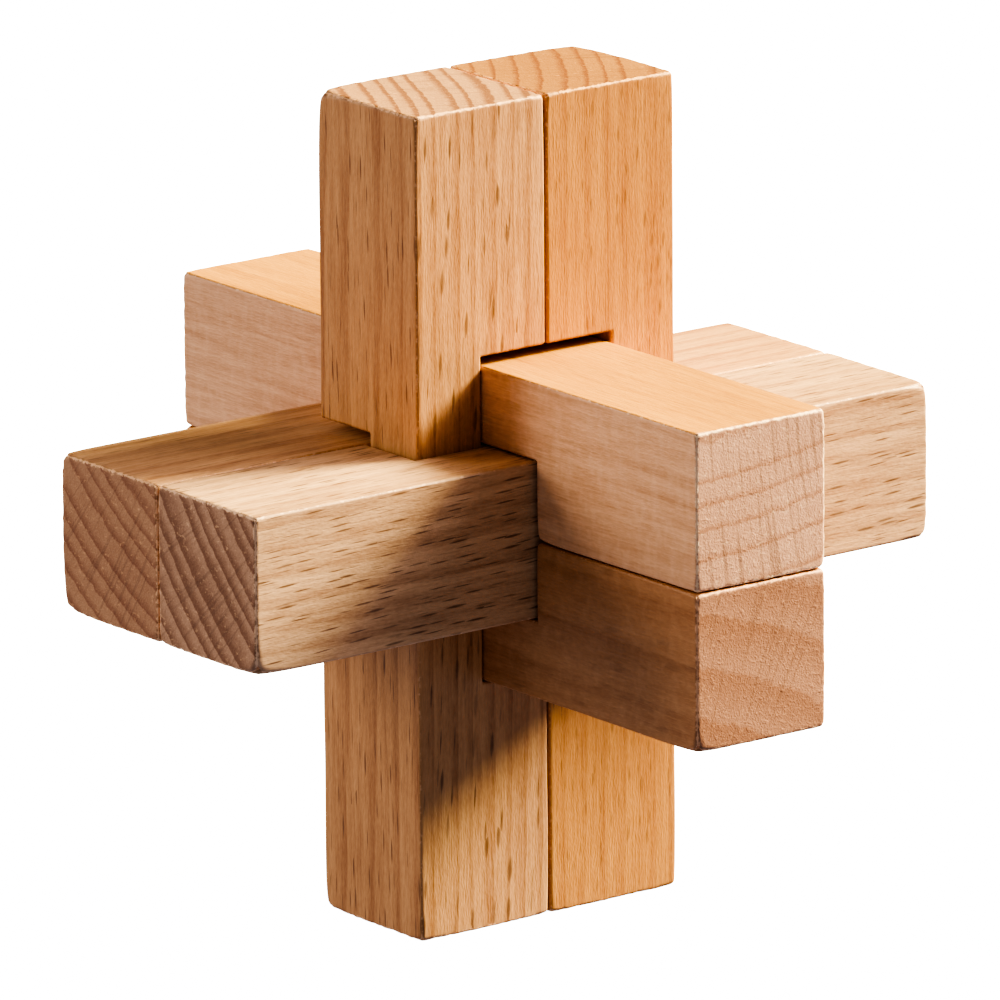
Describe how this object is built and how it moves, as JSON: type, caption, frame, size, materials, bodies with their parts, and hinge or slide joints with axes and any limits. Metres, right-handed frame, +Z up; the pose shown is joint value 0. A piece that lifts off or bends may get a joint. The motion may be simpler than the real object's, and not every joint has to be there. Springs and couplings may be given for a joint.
{
  "type": "wooden burr puzzle",
  "caption": "Interlocking burr puzzle of plain square wooden bars that cross at right angles, standing on its uprights, with a key bar that slides out endways.",
  "frame": {"origin": "centre of the footprint, in the plane of the uprights' lower ends that the puzzle stands on", "axes": "+Z up along the uprights; +X along the crossbars, towards the right upright; +Y along the arms, from the front crossbar towards the key bar"},
  "size_m": [0.0786, 0.0786, 0.0785],
  "materials": {
    "left_upright": "bare beech with dark flecks, sanded",
    "right_upright": "bare golden beech, sanded",
    "front_crossbar": "bare beech with short dark dashes, sanded",
    "key_bar": "bare reddish beech, sanded",
    "lower_arm": "bare orange-brown beech, sanded",
    "upper_arm": "bare pale beech, sanded"
  },
  "bodies": {
    "left_upright": {"left_upright": "left_upright"},
    "right_upright": {"right_upright": "right_upright"},
    "front_crossbar": {"front_crossbar": "front_crossbar"},
    "key_bar": {"key_bar": "key_bar"},
    "lower_arm": {"lower_arm": "lower_arm"},
    "upper_arm": {"upper_arm": "upper_arm"}
  },
  "joints": [
    {"name": "key_slide", "type": "slide", "parent": "left_upright", "child": "key_bar", "axis": [1, 0, 0], "range_m": [-0.056, 0.056]},
    {"name": "right_upright_play", "type": "slide", "parent": "left_upright", "child": "right_upright", "axis": [0, 0, 1], "range_m": [-0.0008, 0]},
    {"name": "front_crossbar_play", "type": "slide", "parent": "left_upright", "child": "front_crossbar", "axis": [1, 0, 0], "range_m": [-0.0003, 0.0003]},
    {"name": "lower_arm_play", "type": "slide", "parent": "left_upright", "child": "lower_arm", "axis": [0, 1, 0], "range_m": [-0.0003, 0.0003]},
    {"name": "upper_arm_play", "type": "slide", "parent": "left_upright", "child": "upper_arm", "axis": [0, 1, 0], "range_m": [-0.0003, 0.0003]}
  ]
}
